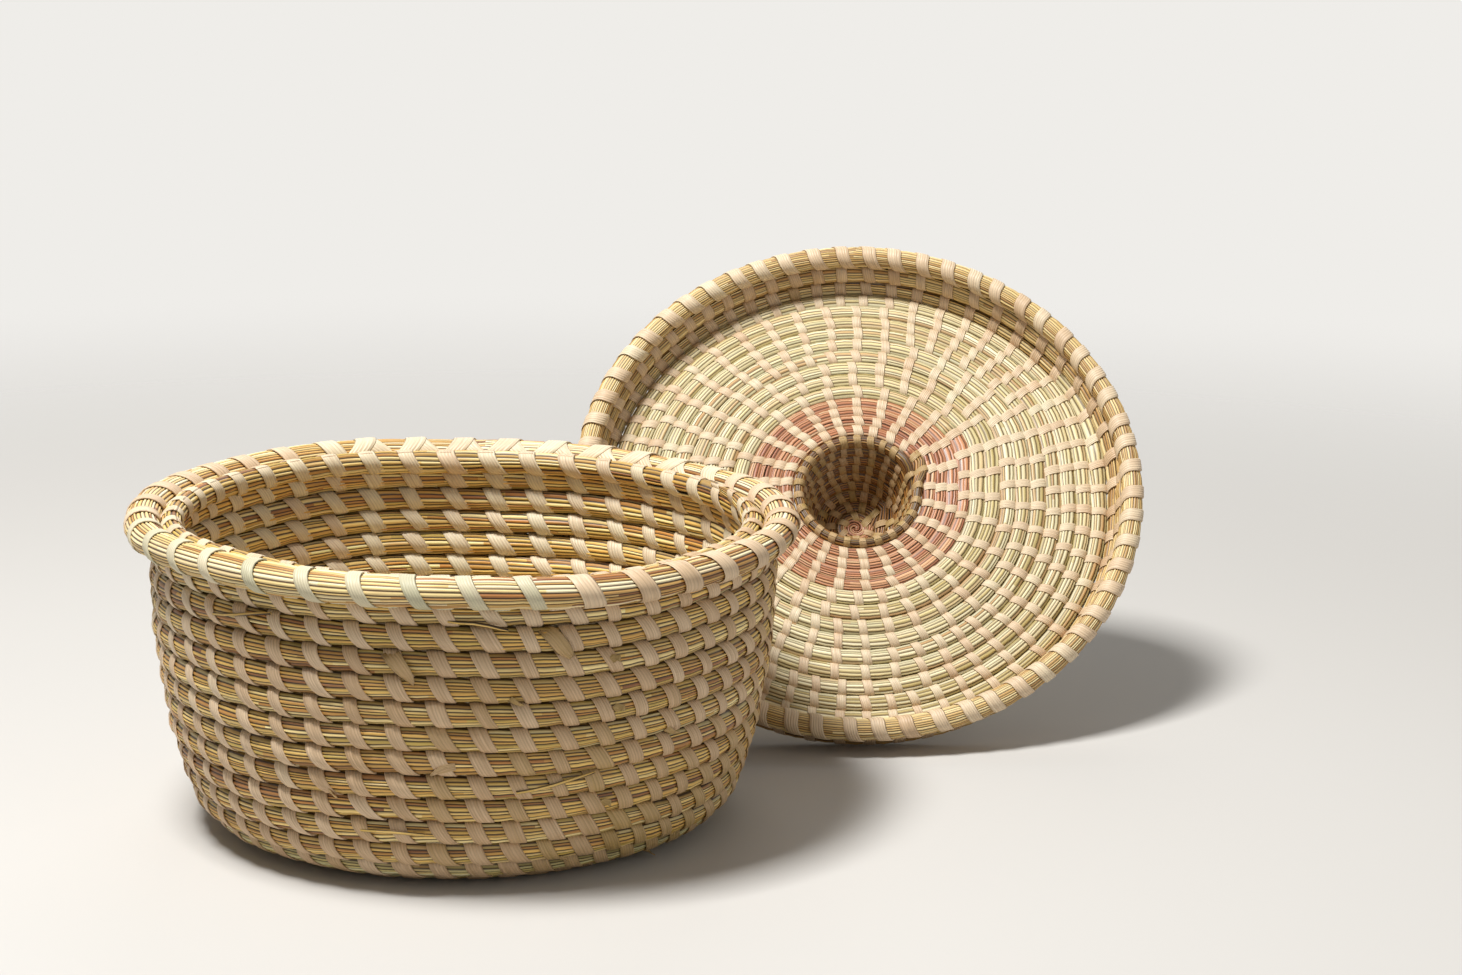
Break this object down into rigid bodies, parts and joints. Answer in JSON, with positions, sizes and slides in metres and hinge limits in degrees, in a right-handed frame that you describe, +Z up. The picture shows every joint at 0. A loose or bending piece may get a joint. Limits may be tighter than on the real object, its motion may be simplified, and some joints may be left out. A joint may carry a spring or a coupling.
{
  "type": "lidded coiled basket",
  "caption": "Round sweetgrass basket coiled row on row with palmetto stitching, and its domed, knobbed lid, which is off and leans behind it.",
  "frame": {"origin": "middle of the basket's underside, on the ground", "axes": "+Z up along the basket's axis, +Y away from the viewer, +X to the viewer's right, where the lid leans"},
  "size_m": [0.3161, 0.2867, 0.1458],
  "materials": {
    "sweetgrass": "dried sweetgrass stems laid side by side in a bundle, dull with a faint waxy sheen along each stem",
    "sweetgrass_pale": "paler, greener dried sweetgrass stems",
    "pine_needle": "reddish brown dried longleaf pine needles",
    "palmetto": "flat split palmetto leaf, finely ribbed along its length, satin"
  },
  "bodies": {
    "basket": {"base_start_knot": "sweetgrass", "base_coil": "sweetgrass_pale", "wall_coil": "sweetgrass", "basket_rim_coil": "sweetgrass", "basket_rim_binding": "palmetto"},
    "lid": {"knob_start_knot": "pine_needle", "knob_coil": "sweetgrass", "pine_needle_coil": "pine_needle", "lid_disc_coil": "sweetgrass_pale", "lid_flange_coil": "sweetgrass", "lid_rim_coil": "sweetgrass", "lid_rim_binding": "palmetto"}
  },
  "joints": [
    {"name": "lid_turn_over", "type": "hinge", "parent": "basket", "child": "lid", "pos_m": [0.0529, 0.06091, 0.067], "axis": [0.6142, -0.72, -0.3231], "range_deg": [0, 148.89]}
  ]
}
